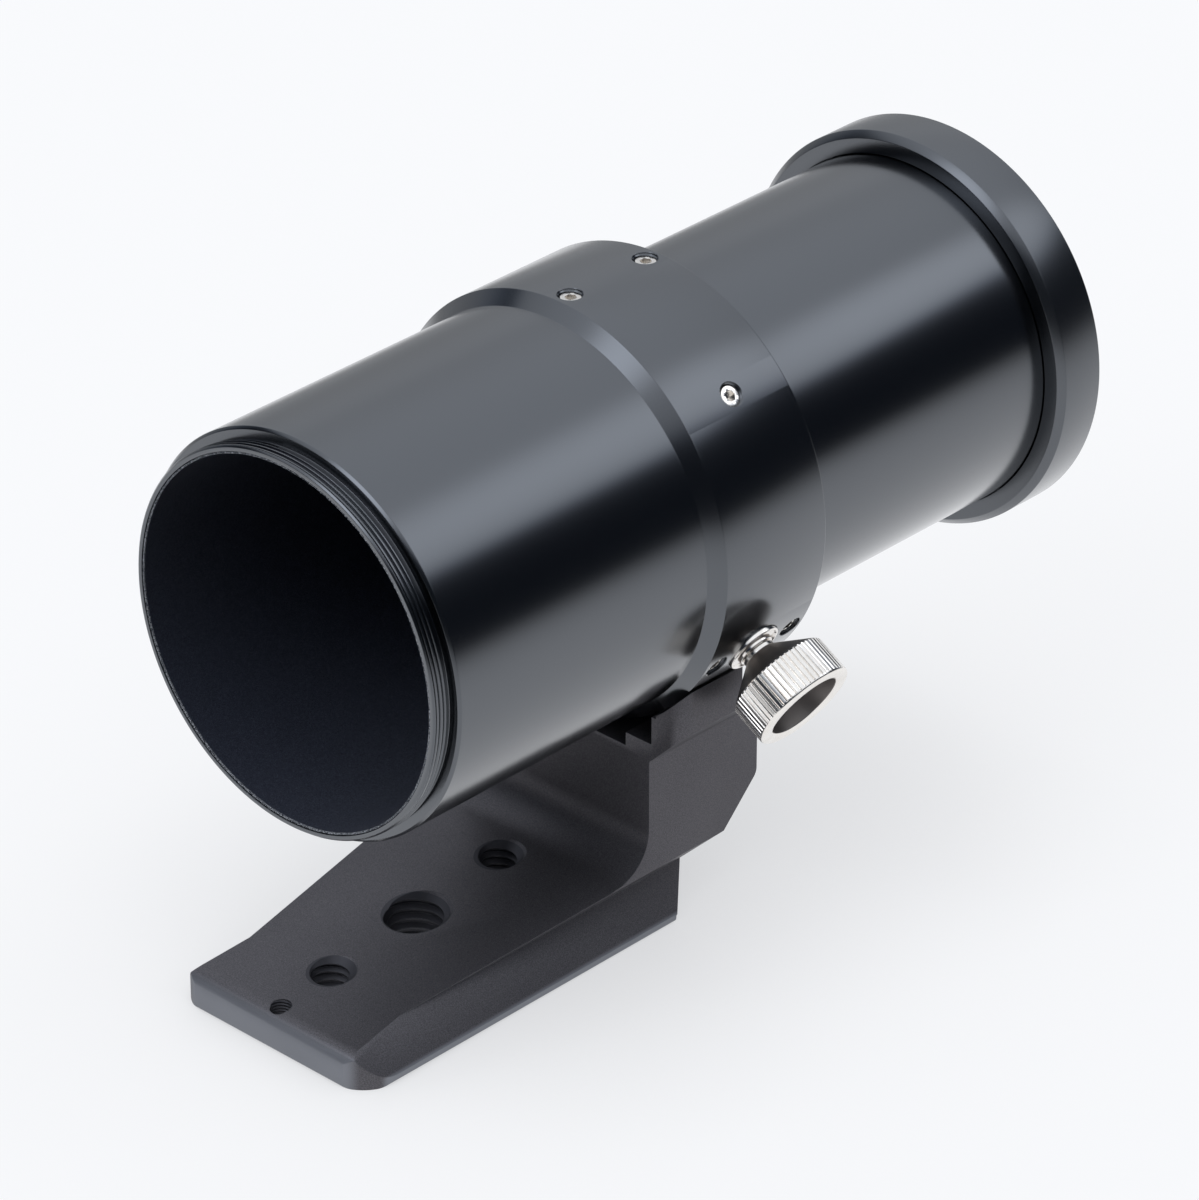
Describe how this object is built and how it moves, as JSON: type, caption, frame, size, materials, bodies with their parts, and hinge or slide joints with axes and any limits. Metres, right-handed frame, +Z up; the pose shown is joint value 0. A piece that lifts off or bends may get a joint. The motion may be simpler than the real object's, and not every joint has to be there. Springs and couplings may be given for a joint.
{
  "type": "lens barrel",
  "caption": "Black lens barrel with a threaded nose, a sliding draw tube locked by a knurled thumb screw, and a dovetail tripod foot.",
  "frame": {"origin": "on the foot's bottom face, on the middle plane, under the front edge of the collar", "axes": "+Y along the barrel from the threaded nose towards the end ring, +Z up from the foot to the barrel, +X to the side of the thumb screw"},
  "size_m": [0.0732, 0.1392, 0.094],
  "materials": {
    "black_anodised": "turned, satin black anodised",
    "blasted_anodised": "bead-blasted, matte black anodised",
    "flock": "short black flock",
    "nickel": "bright nickel plate",
    "black_acetal": "smooth machined plastic",
    "brass": "turned",
    "black_steel": "black oxide"
  },
  "bodies": {
    "barrel": {"main_barrel": "black_anodised", "front_lining": "flock", "tripod_foot": "blasted_anodised", "foot_screw_front": "black_steel", "foot_screw_rear": "black_steel", "thumb_screw_bush": "nickel", "set_screw_single": "nickel", "set_screw_top_front": "nickel", "set_screw_top_rear": "nickel", "set_screw_right_front": "nickel", "set_screw_right_rear": "nickel", "set_screw_left_front": "nickel", "set_screw_left_rear": "nickel"},
    "guide": {"guide_ring": "black_acetal"},
    "draw_tube": {"draw_tube": "black_anodised", "draw_tube_lining": "flock", "end_ring": "black_anodised"},
    "clamp": {"clamp_pad": "brass"},
    "thumb_screw": {"thumb_screw": "nickel"}
  },
  "joints": [
    {"name": "draw_tube_turn", "type": "hinge", "parent": "barrel", "child": "guide", "pos_m": [0, 0.01115, 0.0621], "axis": [0, 1, 0], "continuous": true},
    {"name": "draw_tube_slide", "type": "slide", "parent": "guide", "child": "draw_tube", "axis": [0, -1, 0], "range_m": [0, 0.0515]},
    {"name": "clamp_travel", "type": "slide", "parent": "barrel", "child": "clamp", "axis": [0.866, 0, -0.5], "range_m": [0, 0.0014]},
    {"name": "thumb_screw_turn", "type": "hinge", "parent": "clamp", "child": "thumb_screw", "pos_m": [0, 0.0121, 0.0621], "axis": [0.866, 0, -0.5], "range_deg": [0, 720]}
  ],
  "couplings": [
    {"joint": "clamp_travel", "follows": "thumb_screw_turn", "m_per_rad": 0.0001114}
  ]
}
